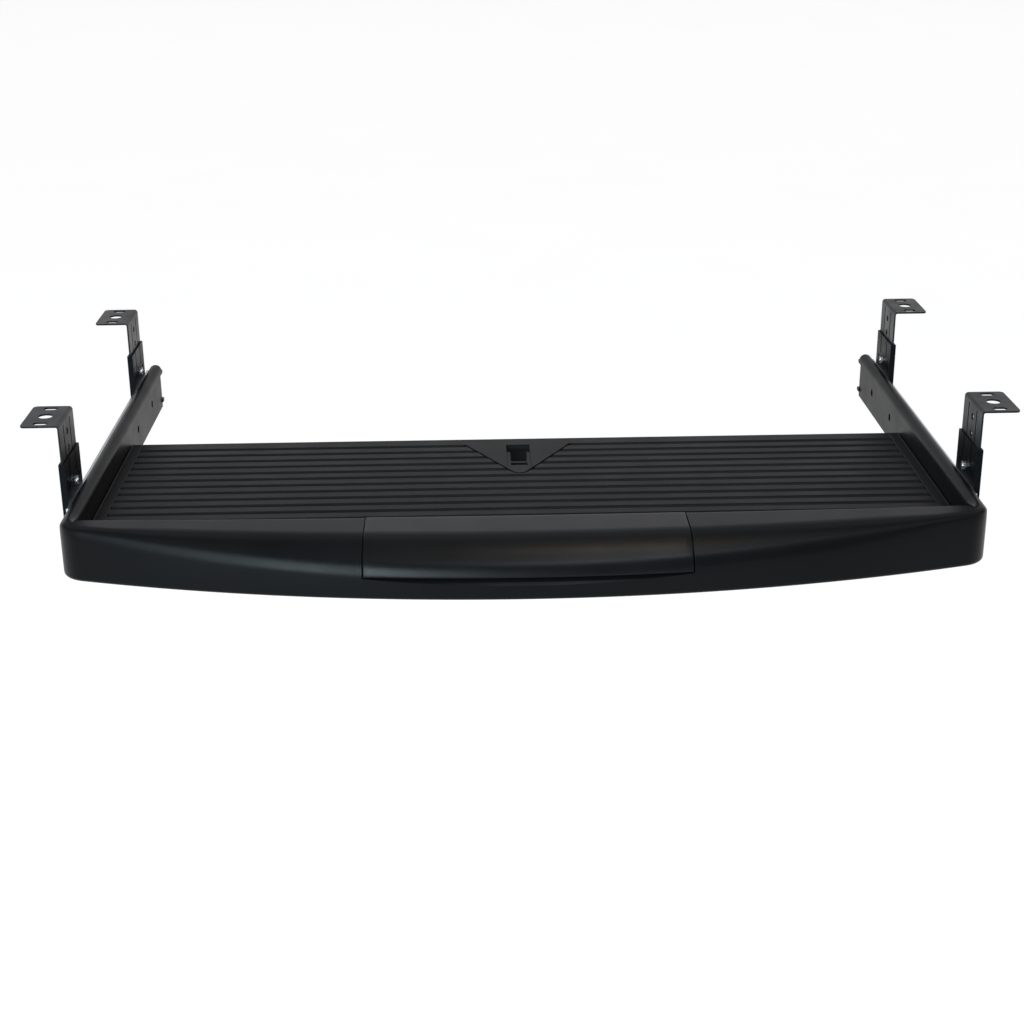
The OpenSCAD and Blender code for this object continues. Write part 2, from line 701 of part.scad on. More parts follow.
module ball_cage(side) {
    pocket = ball_d + 2 * slide_gap;
    finger = 2.6;
    color(ZINC) on_side(side) difference() {
        union() {
            box(cage_x - cage_t, cage_x, -cage_l / 2, cage_l / 2, rail_z - race_z, rail_z + race_z);
            for (s = [-1, 1]) translate([0, 0, rail_z + s * race_z])
                box(cage_x - finger, cage_x, -cage_l / 2, cage_l / 2, -cage_t / 2, cage_t / 2);
        }
        for (s = [-1, 1]) for (i = [0:balls_per_row - 1])
            translate([ball_x, ball_y(i), rail_z + s * race_z - 2]) cylinder(h = 4, d = pocket);
    }
}

module bearing_balls(side) {
    color(ZINC) on_side(side) for (s = [-1, 1]) for (i = [0:balls_per_row - 1])
        translate([ball_x, ball_y(i), rail_z + s * race_z]) sphere(d = ball_d);
}

module rail_bumper(side) {
    color(RUBBER) on_side(side) difference() {
        box(arm_x + 2 * rail_t, cage_x + slide_gap, arm_end_y - bumper_l, arm_end_y, rail_z - 7, rail_z + 7);
        translate([arm_x + rail_w / 2, arm_end_y - bumper_l, rail_z - 8]) cylinder(h = 16, d = 2);
    }
}

// Fasteners, drawn in groups
module height_bolts() {
    color(ZINC) on_corners() {
        translate([hook_x, 0, bolt_z]) rotate([0, 90, 0])
            cylinder(h = bolt_head_h, d = bolt_head_w / cos(30), $fn = 6);
        bar_x(sleeve_x - nut_h - 0.4, hook_x + bolt_head_h / 2, 0, bolt_z, bolt_d);
    }
}

module height_nuts() {
    color(ZINC) on_corners() difference() {
        bar_x(sleeve_x - nut_h, sleeve_x, 0, bolt_z, nut_d);
        bar_x(sleeve_x - nut_h - 1, sleeve_x + 1, 0, bolt_z, bolt_d + 2 * hole_gap);
    }
}

module rail_rivets() {
    color(ZINC) on_corners() for (s = [-1, 1]) {
        bar_x(sleeve_x - rail_t, sleeve_x + lower_t, s * rivet_y, rail_z, rivet_d);
    }
}

// Screw along X that starts at its head's outer face and runs towards dir
module screw_x(x, dir, y, z, l) {
    translate([x, y, z]) rotate([0, dir * 90, 0]) {
        cylinder(h = screw_head_h, d = screw_head_d);
        cylinder(h = screw_head_h + l, d = screw_d);
    }
}

module rail_screws() {
    color(ZINC) for (side = [LEFT, RIGHT]) on_side(side) for (i = [open_holes:holes - 1])
        screw_x(arm_x + rail_t + screw_head_h, -1, screw_y[i], rail_z, rail_t + arm_t - 0.5);
}

module deck_screws() {
    color(STEEL_BLACK) for (side = [LEFT, RIGHT]) on_side(side) for (y = deck_screw_y)
        screw_x(deck_x - skirt_t - screw_head_h, 1, y, deck_screw_z, skirt_t + arm_t - 1);
}

module frame_screws() {
    color(STEEL_BLACK) for (side = [LEFT, RIGHT]) on_side(side) for (z = frame_screw_z)
        screw_x(wall_x - tongue_t - screw_head_h, 1, frame_screw_y, z, frame_screw_l);
}

palm_rest();
centre_panel();
side_arm(LEFT);  // side_arm_left
side_arm(RIGHT);  // side_arm_right
ribbed_deck();
cable_clip();
upper_bracket(LEFT, FRONT);  // upper_bracket_front_left
upper_bracket(RIGHT, FRONT);  // upper_bracket_front_right
upper_bracket(LEFT, REAR);  // upper_bracket_rear_left
upper_bracket(RIGHT, REAR);  // upper_bracket_rear_right
lower_bracket(LEFT, FRONT);  // lower_bracket_front_left
lower_bracket(RIGHT, FRONT);  // lower_bracket_front_right
lower_bracket(LEFT, REAR);  // lower_bracket_rear_left
lower_bracket(RIGHT, REAR);  // lower_bracket_rear_right
outer_rail(LEFT);  // outer_rail_left
outer_rail(RIGHT);  // outer_rail_right
inner_rail(LEFT);  // inner_rail_left
inner_rail(RIGHT);  // inner_rail_right
ball_cage(LEFT);  // ball_cage_left
ball_cage(RIGHT);  // ball_cage_right
bearing_balls(LEFT);  // bearing_balls_left
bearing_balls(RIGHT);  // bearing_balls_right
rail_bumper(LEFT);  // rail_bumper_left
rail_bumper(RIGHT);  // rail_bumper_right
height_bolts();
height_nuts();
rail_rivets();
rail_screws();
deck_screws();
frame_screws();
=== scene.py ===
"""Looks of the under-desk keyboard tray: materials, fine surfaces, light and camera."""

import json
from math import cos, hypot, pi, radians, sin, sqrt

import bmesh
import bpy
from mathutils import Matrix, Vector


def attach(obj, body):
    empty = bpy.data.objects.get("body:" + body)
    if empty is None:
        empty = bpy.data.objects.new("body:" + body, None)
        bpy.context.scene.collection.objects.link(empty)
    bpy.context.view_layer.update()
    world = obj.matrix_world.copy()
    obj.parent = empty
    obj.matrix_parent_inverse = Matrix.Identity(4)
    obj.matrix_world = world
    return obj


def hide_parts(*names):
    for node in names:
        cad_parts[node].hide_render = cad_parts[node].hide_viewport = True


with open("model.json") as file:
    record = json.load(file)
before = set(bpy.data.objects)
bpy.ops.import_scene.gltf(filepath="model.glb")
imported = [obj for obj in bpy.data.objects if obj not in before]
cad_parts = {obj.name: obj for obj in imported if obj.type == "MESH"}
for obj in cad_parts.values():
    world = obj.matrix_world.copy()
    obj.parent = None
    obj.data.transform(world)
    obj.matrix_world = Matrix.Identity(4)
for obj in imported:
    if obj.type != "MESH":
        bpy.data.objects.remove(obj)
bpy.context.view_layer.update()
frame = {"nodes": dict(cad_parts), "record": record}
scene = bpy.context.scene

MM = 0.001

# Camera fitted to the photograph, in degrees, metres and pixels, with its sensor in millimetres
CAMERA_YAW, CAMERA_PITCH, CAMERA_ROLL = 1.293, 21.39, -0.495
CAMERA_PLACE = (-0.03076, -1.17423, 0.34294)
FOCAL_PIXELS, PHOTO_PIXELS = 1750, 1024
SENSOR_W = 36

# Palm rest in millimetres, as in the part's source
DECK_W, RIM_W = 547.6, 9.4
WALL_X, RIM_R = DECK_W / 2, RIM_W / 2
RIM_X, HALF_W = WALL_X + RIM_R, WALL_X + RIM_W
FRAME_H, RIM_Z = 34.5, -46.0
RIM_C_Z, BOTTOM_Z = RIM_Z - RIM_R, RIM_Z - FRAME_H
LIP_Y, TAIL_D, PALM_D = -182.0, 12.0, 55.0
TAIL_Y, FRONT_Y = LIP_Y + TAIL_D, LIP_Y - PALM_D
LIP_R, LIP_DIP, FOOT_R = 1.5, 2.0, 3.0
BOW_DROP, CORNER_R = 42.5, 20.0
BOW_R = (HALF_W ** 2 + BOW_DROP ** 2) / (2 * BOW_DROP)
CORNER_X = HALF_W - CORNER_R
CORNER_Y = FRONT_Y + BOW_R - sqrt((BOW_R - CORNER_R) ** 2 - CORNER_X ** 2)
BOW_END_X = CORNER_X * BOW_R / (BOW_R - CORNER_R)
BAND_MID, BAND_END = 30.8, 11.9
CREASE_MID, CREASE_END = 17.0, 1.0
CREST_BLEND, CREASE_BLEND, CREASE_UNDER = 6.0, 8.0, 8.0
PALM_WALL, PALM_CELLS, CELL_WEB, CELL_MARGIN, CELL_PAST = 3.0, 10, 2.2, 7.0, 1.0
STEP_W, FACE_STEP = 0.1, 1.0

# Centre panel and its seat in millimetres, as in the part's source
PANEL_W, PANEL_T, PANEL_PROUD, PANEL_SKIRT, PANEL_DROP = 195.0, 2.0, 0.4, 0.5, 19.9
PANEL_LOW_Z = RIM_Z - PANEL_DROP
SEAT_GAP, FINGER_GAP, FINGER_H, FINGER_END_H, SCOOP_DROP = 0.3, 3.6, 4.1, 0.2, 0.8
RECESS_H = PANEL_T + SEAT_GAP - PANEL_PROUD
RECESS_X = PANEL_W / 2 + SEAT_GAP

# Shares that shape a slice of the palm rest: the first three are in the part's source too
CREST_LEAST = 0.18
SLOPE_BLEND_MOST, BAND_BLEND_MOST = 0.45, 0.8
BAND_RISE_START, BAND_RISE_LENGTH = 0.25, 0.6

# Fine shape that the part's source leaves out, in millimetres, with the swell as a share of the slope
SLOPE_SWELL = 0.042
SEAM_EXTRA = 0.4
PANEL_HALF = PANEL_W / 2 - SEAM_EXTRA
PANEL_EDGE_R = 0.35

# Steps along each stretch of a slice, and along X
LIP_N, BAND_N, CREST_N, SLOPE_N, CREASE_N, TOE_N = 6, 12, 14, 8, 16, 6
WING_N, SEAT_N, CELL_N, PANEL_N, PANEL_EDGE_N = 48, 32, 6, 40, 4

# Degrees: sheet faces that bend less join, edges that bend more are rounded, sharper corners stay sharp
FLAT_ANGLE, EDGE_ANGLE, SHARP_ANGLE = 0.5, 40, 30

# Fasteners in millimetres, with diameters and heads as in the part's source
BOLT_D, BOLT_HEAD_W, BOLT_HEAD_H = 4.0, 8.0, 3.0
SCREW_D, SCREW_HEAD_D, SCREW_HEAD_H = 3.0, 5.6, 1.0
RIVET_D = 4.0
THREAD_PITCH, THREAD_DEPTH, THREAD_END = 0.7, 0.28, 0.4
CHAMFER_H, CHAMFER_SLOPE, WASHER_T = 0.62, 1.73, 0.25
TURN_N, CHAMFER_N = 48, 5

# Shares of the thread's pitch and depth, and of half the bolt head's width
THREAD_RISE, THREAD_FALL, THREAD_TAPER = 0.35, 0.6, 1.6
CHAMFER_SHARE, WASHER_SHARE = 0.95, 0.97

# Rounded faces of a pan head and a rivet, as distance from the outer face and radius
SCREW_FACE = [(0.0, 1.7), (0.08, 2.25), (0.25, 2.6), (0.5, 2.78)]
SCREW_RIM = [(0.8, SCREW_HEAD_D / 2), (SCREW_HEAD_H, 2.72)]
RIVET_MARK = [(0.42, 0.3), (0.36, 0.62), (0.06, 0.92), (0.0, 1.08)]
RIVET_RIM = [(0.0, 1.72), (0.06, 1.88), (0.18, RIVET_D / 2)]
RIVET_BACK_H, RIVET_BACK_R = 0.18, 1.85

# Blades of a cross recess: width and thickness at the mouth and at the floor, and where these lie
BLADE_MOUTH, BLADE_FLOOR = (3.4, 0.8), (1.0, 0.4)
BLADE_MOUTH_X, BLADE_FLOOR_X = -0.5, 0.65

# Points of one mesh that are closer than this, in metres, are one point
WELD_GAP = 0.00001

# Stage in metres, with the glow that keeps it pale for the camera
STAGE_R, STAGE_SIDES = 16.0, 64
FLOOR_Z, BACKDROP_Z = -0.72, 5.0
STAGE_GLOW = 0.88

# Two wide suns that mirror each other
SUN_STRENGTH, SUN_WIDTH = 0.42, 50
SUN_ASIDE, SUN_AHEAD, SUN_DOWN = 1, 0.2, -1.2

# Area lamps: name, place, target and size in metres, power in watts, colour
LAMPS = (
    ("front_left", (-0.53, -1.57, 0.55), (-0.1, -0.23, -0.06), (0.46, 0.9), 22.4, (0.8, 1.0, 1.06)),
    ("left_fill", (-1.16, -1.42, 0.5), (-0.2, -0.2, -0.06), (0.8, 1.0), 4.9, (0.78, 1.0, 1.07)),
    ("low_left", (-0.49, -0.9, -0.28), (-0.16, -0.22, -0.07), (0.4, 0.25), 0.42, (0.66, 1.0, 1.12)),
    ("front_ceiling", (0.27, -0.72, 1.5), (0.05, -0.23, -0.06), (0.6, 0.4), 4.9, (0.9, 1.0, 1.12)),
    ("ceiling", (0.25, -0.13, 1.6), (0.05, -0.22, -0.06), (0.5, 0.25), 3.5, (1.0, 0.88, 0.7)),
)

# Room around the stage: palest behind the tray, at this many degrees above the horizon
ROOM_LIFT = 20
ROOM_DARK, ROOM_PALE = (0.1, 0.1, 0.105, 1), (1.0, 1.01, 1.06, 1)
# Cosines of the angle to that palest place
ROOM_DARK_TO, ROOM_PALE_FROM = 0.64, 0.9
ROOM_STRENGTH = 0.7


def add_object(name, data):
    """New object in the scene for a mesh, a lamp or a camera."""
    obj = bpy.data.objects.new(name, data)
    scene.collection.objects.link(obj)
    return obj


def add_camera():
    """Camera fitted to the photograph."""
    yaw, pitch, roll = radians(CAMERA_YAW), radians(CAMERA_PITCH), radians(CAMERA_ROLL)
    forward = Vector((sin(yaw) * cos(pitch), cos(yaw) * cos(pitch), -sin(pitch)))
    right = Vector((cos(yaw), -sin(yaw), 0))
    up = right.cross(forward)
    x_axis = cos(roll) * right + sin(roll) * up
    y_axis = cos(roll) * up - sin(roll) * right
    place = Matrix((x_axis, y_axis, -forward)).transposed().to_4x4()
    place.translation = Vector(CAMERA_PLACE)
    data = bpy.data.cameras.new("camera")
    data.sensor_width = SENSOR_W
    data.lens = SENSOR_W * FOCAL_PIXELS / PHOTO_PIXELS
    camera = add_object("camera", data)
    camera.matrix_world = place
    scene.camera = camera


class Nodes:
    """Short way to build a material's node tree."""

    def __init__(self, name):
        self.material = bpy.data.materials.new(name)
        self.material.use_nodes = True
        self.tree = self.material.node_tree
        self.shader = self.tree.nodes["Principled BSDF"]
        coordinates = self.tree.nodes.new("ShaderNodeTexCoord")
        self.place = coordinates.outputs["Object"]

    def link(self, a, b):
        self.tree.links.new(a, b)

    def noise(self, scale, detail=2.0, stretch=None):
        node = self.tree.nodes.new("ShaderNodeTexNoise")
        node.inputs["Scale"].default_value = scale
        node.inputs["Detail"].default_value = detail
        place = self.place
        if stretch:
            mapping = self.tree.nodes.new("ShaderNodeMapping")
            mapping.inputs["Scale"].default_value = stretch
            self.link(place, mapping.inputs["Vector"])
            place = mapping.outputs["Vector"]
        self.link(place, node.inputs["Vector"])
        return node.outputs["Fac"]

    def ramp(self, source, low, high, start=0.3, end=0.7):
        node = self.tree.nodes.new("ShaderNodeValToRGB")
        first, last = node.color_ramp.elements
        first.position, first.color = start, (*low, 1)
        last.position, last.color = end, (*high, 1)
        self.link(source, node.inputs["Fac"])
        return node.outputs["Color"]

    def span(self, source, low, high, start=0.3, end=0.7):
        node = self.tree.nodes.new("ShaderNodeMapRange")
        node.inputs["From Min"].default_value = start
        node.inputs["From Max"].default_value = end
        node.inputs["To Min"].default_value = low
        node.inputs["To Max"].default_value = high
        self.link(source, node.inputs["Value"])
        return node.outputs["Result"]

    def bump(self, height, strength, distance):
        node = self.tree.nodes.new("ShaderNodeBump")
        node.inputs["Strength"].default_value = strength
        node.inputs["Distance"].default_value = distance
        self.link(height, node.inputs["Height"])
        return node.outputs["Normal"]

    def set(self, **values):
        for key, value in values.items():
            self.shader.inputs[key.replace("_", " ")].default_value = value

    def feed(self, socket, source):
        self.link(source, self.shader.inputs[socket])


def shade(colour, factor):
    return tuple(c * factor for c in colour)


def moulded_plastic(name, colour, roughness, gloss, grain):
    """Dark moulded plastic with a fine spark-eroded grain and slight patches of sheen."""
    n = Nodes(name)
    n.set(Specular_IOR_Level=gloss)
    patches = n.noise(scale=14, detail=4)
    n.feed("Base Color", n.ramp(patches, shade(colour, 0.88), shade(colour, 1.12)))
    sheen = n.noise(scale=38, detail=3)
    n.feed("Roughness", n.span(sheen, roughness - 0.03, roughness + 0.03))
    n.feed("Normal", n.bump(n.noise(scale=1500), strength=grain, distance=0.0003))
    return n.material


def powder_coat(name, colour, gloss):
    """Satin black powder coat with orange peel, rubbed a little lighter along its edges."""
    n = Nodes(name)
    n.set(Specular_IOR_Level=gloss)
    geometry = n.tree.nodes.new("ShaderNodeNewGeometry")
    edge = n.span(geometry.outputs["Pointiness"], low=0, high=1, start=0.52, end=0.62)
    n.feed("Base Color", n.ramp(edge, colour, shade(colour, 2.4), start=0.2, end=0.9))
    n.feed("Roughness", n.span(n.noise(scale=60, detail=3), low=0.3, high=0.42))
    n.feed("Normal", n.bump(n.noise(scale=700, detail=3), strength=0.12, distance=0.0002))
    return n.material


def zinc_plate(name, colour, roughness):
    """Bright zinc with rolling lines along the slide and soft clouds of passivation."""
    n = Nodes(name)
    n.set(Metallic=1.0)
    clouds = n.noise(scale=45, detail=4)
    n.feed("Base Color", n.ramp(clouds, shade(colour, 0.86), colour))
    lines = n.noise(scale=900, stretch=(1, 0.02, 1))
    n.feed("Roughness", n.span(lines, roughness - 0.06, roughness + 0.1))
    n.feed("Normal", n.bump(lines, strength=0.1, distance=0.0001))
    return n.material


def rubber(name, colour):
    """Dull black rubber with a fine dusting."""
    n = Nodes(name)
    dust = n.noise(scale=90, detail=4)
    n.feed("Base Color", n.ramp(dust, shade(colour, 0.8), shade(colour, 1.4)))
    n.feed("Roughness", n.span(n.noise(scale=300), low=0.75, high=0.9))
    n.feed("Normal", n.bump(n.noise(scale=1800), strength=0.2, distance=0.0002))
    return n.material


TRAY_BLACK = (0.0049, 0.005, 0.0056)
PANEL_BLACK = (0.0051, 0.0051, 0.0057)
DECK_BLACK = (0.009, 0.009, 0.0096)

# Finish of each material slot
FINISHES = {
    "tray_plastic": moulded_plastic("tray_plastic", TRAY_BLACK, roughness=0.32, gloss=0.086, grain=0.15),
    "panel_plastic": moulded_plastic("panel_plastic", PANEL_BLACK, roughness=0.31, gloss=0.129, grain=0.1),
    "deck_plastic": moulded_plastic("deck_plastic", DECK_BLACK, roughness=0.42, gloss=0.064, grain=0.15),
    "bracket_black": powder_coat("bracket_black", (0.012, 0.0124, 0.0138), gloss=0.128),
    "slide_zinc": zinc_plate("slide_zinc", (0.5, 0.515, 0.535), roughness=0.3),
    "ball_steel": zinc_plate("ball_steel", (0.72, 0.72, 0.74), roughness=0.14),
    "bumper_rubber": rubber("bumper_rubber", (0.016, 0.016, 0.016)),
    "fastener_zinc": zinc_plate("fastener_zinc", (0.56, 0.575, 0.595), roughness=0.28),
    "screw_black": powder_coat("screw_black", (0.017, 0.017, 0.018), gloss=0.23),
}

# Finish of the nodes that differ from the rest of their slot, by the first two words of their names; the
# lower brackets' darker paint is partly painted shade
NODE_FINISHES = {
    # Black paint made darker and duller than the posts': painted shade for the shade inside the lower
    # brackets' channels
    "lower_bracket": powder_coat("sleeve_black_painted_shade", (0.0037, 0.004, 0.0049), gloss=0.036),
    "side_arm": moulded_plastic("arm_plastic", TRAY_BLACK, roughness=0.4, gloss=0.082, grain=0.15),
}

# Radius of a node's sharp edges in metres, by slot
EDGE_RADIUS = {"tray_plastic": 0.0001, "bracket_black": 0.0001, "fastener_zinc": 0.0002}


def soften(obj, width, sheet):
    """Rounds an object's sharp edges by a small radius, so that they catch light."""
    weld = obj.modifiers.new("weld", "WELD")
    weld.merge_threshold = WELD_GAP
    if sheet:
        flat = obj.modifiers.new("flat", "DECIMATE")
        flat.decimate_type = "DISSOLVE"
        flat.angle_limit = radians(FLAT_ANGLE)
    bevel = obj.modifiers.new("edge", "BEVEL")
    bevel.width = width
    bevel.segments = 2
    bevel.limit_method = "ANGLE"
    bevel.angle_limit = radians(EDGE_ANGLE)
    bevel.use_clamp_overlap = not sheet
    normals = obj.modifiers.new("normals", "WEIGHTED_NORMAL")
    normals.keep_sharp = True
    normals.weight = 100


def dress_nodes():
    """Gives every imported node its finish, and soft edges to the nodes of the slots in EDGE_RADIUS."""
    for part in frame["record"]["subparts"]:
        obj = frame["nodes"][part["node"]]
        slot = part["material_slot"]
        kind = "_".join(part["node"].split("_")[:2])
        obj.data.materials.clear()
        obj.data.materials.append(NODE_FINISHES.get(kind, FINISHES[slot]))
        if slot in EDGE_RADIUS:
            soften(obj, EDGE_RADIUS[slot], sheet=slot == "bracket_black")


def finish_piece(obj, slot, body, *nodes):
    """Gives a new piece the finish of its slot and a body, and hides the CAD nodes it replaces."""
    obj.data.materials.clear()
    obj.data.materials.append(FINISHES[slot])
    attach(obj, body)
    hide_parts(*nodes)


def mix(a, b, t):
    return a + (b - a) * t


def smooth(t):
    t = min(max(t, 0.0), 1.0)
    return t * t * (3 - 2 * t)


def front_edge(x):
    """Front of the palm rest in plan: one wide arc with rounded corners."""
    if abs(x) <= BOW_END_X:
        return FRONT_Y + BOW_R - sqrt(BOW_R ** 2 - x * x)
    return CORNER_Y - sqrt(max(0.0, CORNER_R ** 2 - (abs(x) - CORNER_X) ** 2))


def rim_round(x):
    """Height of the half-round rim over each arm."""
    return RIM_C_Z + sqrt(max(0.0, RIM_R ** 2 - (abs(x) - RIM_X) ** 2))


def rim_at(x):
    """Height of the top: a shallow dip between the rims' middles, then the half-round rim."""
    return RIM_Z - LIP_DIP * (1 - (x / RIM_X) ** 2) if abs(x) <= RIM_X else rim_round(x)


def crest_at(x):
    """Front edge of the flat band."""
    band = LIP_Y - mix(BAND_MID, BAND_END, (x / HALF_W) ** 2)
    return max(band, mix(front_edge(x), TAIL_Y, CREST_LEAST))


def crease_fall(x):
    """Fall from the top to the crease, which climbs towards the sides."""
    dip = rim_round(max(abs(x), RIM_X)) - rim_at(x)
    return mix(CREASE_MID, CREASE_END, (x / HALF_W) ** 2) - dip


def bezier(a, b, c, n, end=1.0):
    """Points of a soft corner from a towards c that pulls towards b."""
    points = []
    for i in range(n + 1):
        t = end * i / n
        points.append(tuple(mix(mix(p, q, t), mix(q, r, t), t) for p, q, r in zip(a, b, c)))
    return points


def skirt_end(a, b, c):
    """Share of a soft corner that lies above the panel's front edge."""
    bend = a[1] - 2 * b[1] + c[1]
    fall = b[1] - a[1]
    to_go = a[1] - PANEL_LOW_Z - PANEL_SKIRT
    return (-fall - sqrt(fall * fall - bend * to_go)) / bend


def arc(centre, radius, start, end, n):
    angles = [radians(mix(start, end, i / n)) for i in range(n + 1)]
    return [(centre[0] + radius * cos(a), centre[1] + radius * sin(a)) for a in angles]


def fuller(point, crest, down, run):
    """Swells the slope between crest and crease a little, with no change at its ends."""
    along = (point[0] - crest[0]) * down[0] + (point[1] - crest[1]) * down[1]
    s = min(max(along / run, 0.0), 1.0)
    hump = (4 * s * (1 - s)) ** 2
    rise = SLOPE_SWELL * run * hump
    return (point[0] + down[1] * rise, point[1] - down[0] * rise)


def palm_skin(x, drop, setback, cut):
    """Upright slice of the palm rest's outer skin, from the lip over the crest to the crease.

    The skin is lowered by the drop, and its crease moves back along the slope by the setback.
    A cut skin stops at the skirt of the panel's front edge.
    """
    inside = abs(x) < WALL_X
    back = LIP_Y if inside else TAIL_Y
    top = rim_at(x) - drop
    rear_top = (rim_at(x) if inside else rim_round(x)) - drop
    crest_y = crest_at(x)
    face = front_edge(x)
    edge = face + setback
    crease = (edge, top - crease_fall(x) * (crest_y - edge) / (crest_y - face))
    run = hypot(crease[0] - crest_y, crease[1] - top)
    down = ((crease[0] - crest_y) / run, (crease[1] - top) / run)
    soft = min(CREST_BLEND, SLOPE_BLEND_MOST * run, BAND_BLEND_MOST * (back - LIP_R - crest_y))
    hard = min(CREASE_BLEND, SLOPE_BLEND_MOST * run)
    flat_end = crest_y + soft
    slope_start = (crest_y + down[0] * soft, top + down[1] * soft)
    slope_end = (crease[0] - down[0] * hard, crease[1] - down[1] * hard)
    foot = (crease[0], crease[1] - CREASE_UNDER)
    lip_r = LIP_R if inside else 0.0
    points = arc((back - lip_r, rear_top - lip_r), lip_r, 0, 90, LIP_N)
    for i in range(1, BAND_N):
        t = i / BAND_N
        rise = smooth((t - BAND_RISE_START) / BAND_RISE_LENGTH)
        points.append((mix(back - lip_r, flat_end, t), mix(rear_top, top, rise)))
    points += bezier((flat_end, top), (crest_y, top), slope_start, CREST_N)
    for i in range(1, SLOPE_N):
        points.append(tuple(mix(p, q, i / SLOPE_N) for p, q in zip(slope_start, slope_end)))
    end = skirt_end(slope_end, crease, foot) if cut else 1.0
    points += bezier(slope_end, crease, foot, CREASE_N, end)
    return [fuller(point, (crest_y, top), down, run) for point in points]


def palm_slice(x):
    """Closed slice of the palm rest, lowered and set back where the panel sits."""
    seat = abs(x) <= RECESS_X
    skin = palm_skin(x, RECESS_H if seat else 0.0, FINGER_GAP if seat else 0.0, seat)
    face = front_edge(x)
    y, z = skin[-1]
    if seat:
        scoop_z = PANEL_LOW_Z - SCOOP_DROP
        scoop_low_z = scoop_z - mix(FINGER_H, FINGER_END_H, (x / RECESS_X) ** 2)
        step = [(y, scoop_z), (face, scoop_low_z)]
    else:
        # Two points on the plain face keep the number of points the same in every slice
        step = [(face, z - FACE_STEP), (face, z - 2 * FACE_STEP)]
    toe = arc((face + FOOT_R, BOTTOM_Z + FOOT_R), FOOT_R, 180, 270, TOE_N)
    return [(skin[0][0], BOTTOM_Z)] + skin + step + toe


def panel_slice(x, inset):
    """Closed slice of the centre panel: the raised skin and the same skin one thickness in."""
    outer, inner = inset - PANEL_PROUD, PANEL_T - PANEL_PROUD
    skin = palm_skin(x, outer, outer, True)
    core = palm_skin(x, inner, inner, True)
    return skin + [(skin[-1][0], PANEL_LOW_Z), (core[-1][0], PANEL_LOW_Z)] + core[::-1]


def cell_slice(x, near):
    """Inside of one cell under the palm rest, lower and further back near the panel."""
    top = rim_at(x) - PALM_WALL - (RECESS_H if near else 0.0)
    face = front_edge(x)
    crest_y = crest_at(x)
    edge = face + PALM_WALL + (FINGER_GAP if near else 0.0)
    fall = crease_fall(x) * (crest_y - edge) / (crest_y - face)
    low_z = top - fall - CREASE_BLEND / 4
    back = LIP_Y - PALM_WALL
    below = BOTTOM_Z - CELL_PAST
    return [(back, below), (back, top), (crest_y, top), (edge, low_z), (edge, below)]


def tube(name, verts, m):
    """Closed mesh through rings of m points each, with flat ends."""
    n = len(verts) // m
    faces = []
    for i in range(n - 1):
        for j in range(m):
            k = (j + 1) % m
            faces.append((i * m + j, i * m + k, (i + 1) * m + k, (i + 1) * m + j))
    faces.append(tuple(range(m - 1, -1, -1)))
    faces.append(tuple((n - 1) * m + j for j in range(m)))
    mesh = bpy.data.meshes.new(name)
    mesh.from_pydata(verts, [], faces)
    mesh.validate()
    return add_object(name, mesh)


def loft(name, xs, slices):
    """Closed mesh through upright slices that all have the same number of points."""
    verts = [(x * MM, y * MM, z * MM) for x, cut in zip(xs, slices) for y, z in cut]
    return tube(name, verts, len(slices[0]))


def carve(obj, cutters):
    """Cuts solids out of an object and takes them away."""
    for cutter in cutters:
        cut = obj.modifiers.new("cut", "BOOLEAN")
        cut.operation = "DIFFERENCE"
        cut.object = cutter
        cut.solver = "EXACT"
    bpy.context.view_layer.update()
    carved = bpy.data.meshes.new_from_object(obj.evaluated_get(bpy.context.evaluated_depsgraph_get()))
    obj.modifiers.clear()
    obj.data = carved
    for cutter in cutters:
        bpy.data.objects.remove(cutter)


def polish(obj):
    """Smooth shading, with true corners kept sharp."""
    obj.data.shade_smooth()
    obj.data.set_sharp_from_angle(angle=radians(SHARP_ANGLE))


def palm_stations():
    """Places along X for the slices: close together in the corners, with pairs at each step."""
    corner = [CORNER_X + CORNER_R * sin(radians(a)) for a in range(0, 91, 5)]
    rim = [RIM_X + RIM_R * sin(radians(a)) for a in range(-80, 91, 10)]
    wing = [mix(RECESS_X + STEP_W, CORNER_X, i / WING_N) for i in range(WING_N)]
    clear = {round(x, 3) for x in corner + rim + wing if abs(x - WALL_X) > STEP_W / 2}
    half = sorted(clear | {WALL_X - STEP_W / 2, WALL_X + STEP_W / 2})
    middle = [mix(-RECESS_X, RECESS_X, i / SEAT_N) for i in range(SEAT_N + 1)]
    return [-x for x in reversed(half)] + middle + half


def add_palm_rest():
    """Palm rest with its finely curved skin and the open cells under it."""
    xs = palm_stations()
    obj = loft("palm_rest_skin", xs, [palm_slice(x) for x in xs])
    end_x = WALL_X - CELL_MARGIN
    width = 2 * end_x / PALM_CELLS
    cutters = []
    for i in range(PALM_CELLS):
        x0 = -end_x + i * width + CELL_WEB / 2
        x1 = x0 + width - CELL_WEB
        near = min(abs(x0), abs(x1)) < RECESS_X or x0 * x1 < 0
        cell_xs = [mix(x0, x1, j / CELL_N) for j in range(CELL_N + 1)]
        cutters.append(loft(f"cell_{i}", cell_xs, [cell_slice(x, near) for x in cell_xs]))
    carve(obj, cutters)
    polish(obj)
    finish_piece(obj, "tray_plastic", "tray", "palm_rest")


def add_centre_panel():
    """Centre panel with rounded edges at both ends."""
    flat_half = PANEL_HALF - PANEL_EDGE_R
    stations = [(mix(-flat_half, flat_half, i / PANEL_N), 0.0) for i in range(PANEL_N + 1)]
    for i in range(1, PANEL_EDGE_N + 1):
        angle = radians(90 * i / PANEL_EDGE_N)
        x = flat_half + PANEL_EDGE_R * sin(angle)
        inset = PANEL_EDGE_R * (1 - cos(angle))
        stations = [(-x, inset)] + stations + [(x, inset)]
    slices = [panel_slice(*station) for station in stations]
    obj = loft("centre_panel_skin", [x for x, _ in stations], slices)
    polish(obj)
    finish_piece(obj, "panel_plastic", "tray", "centre_panel")


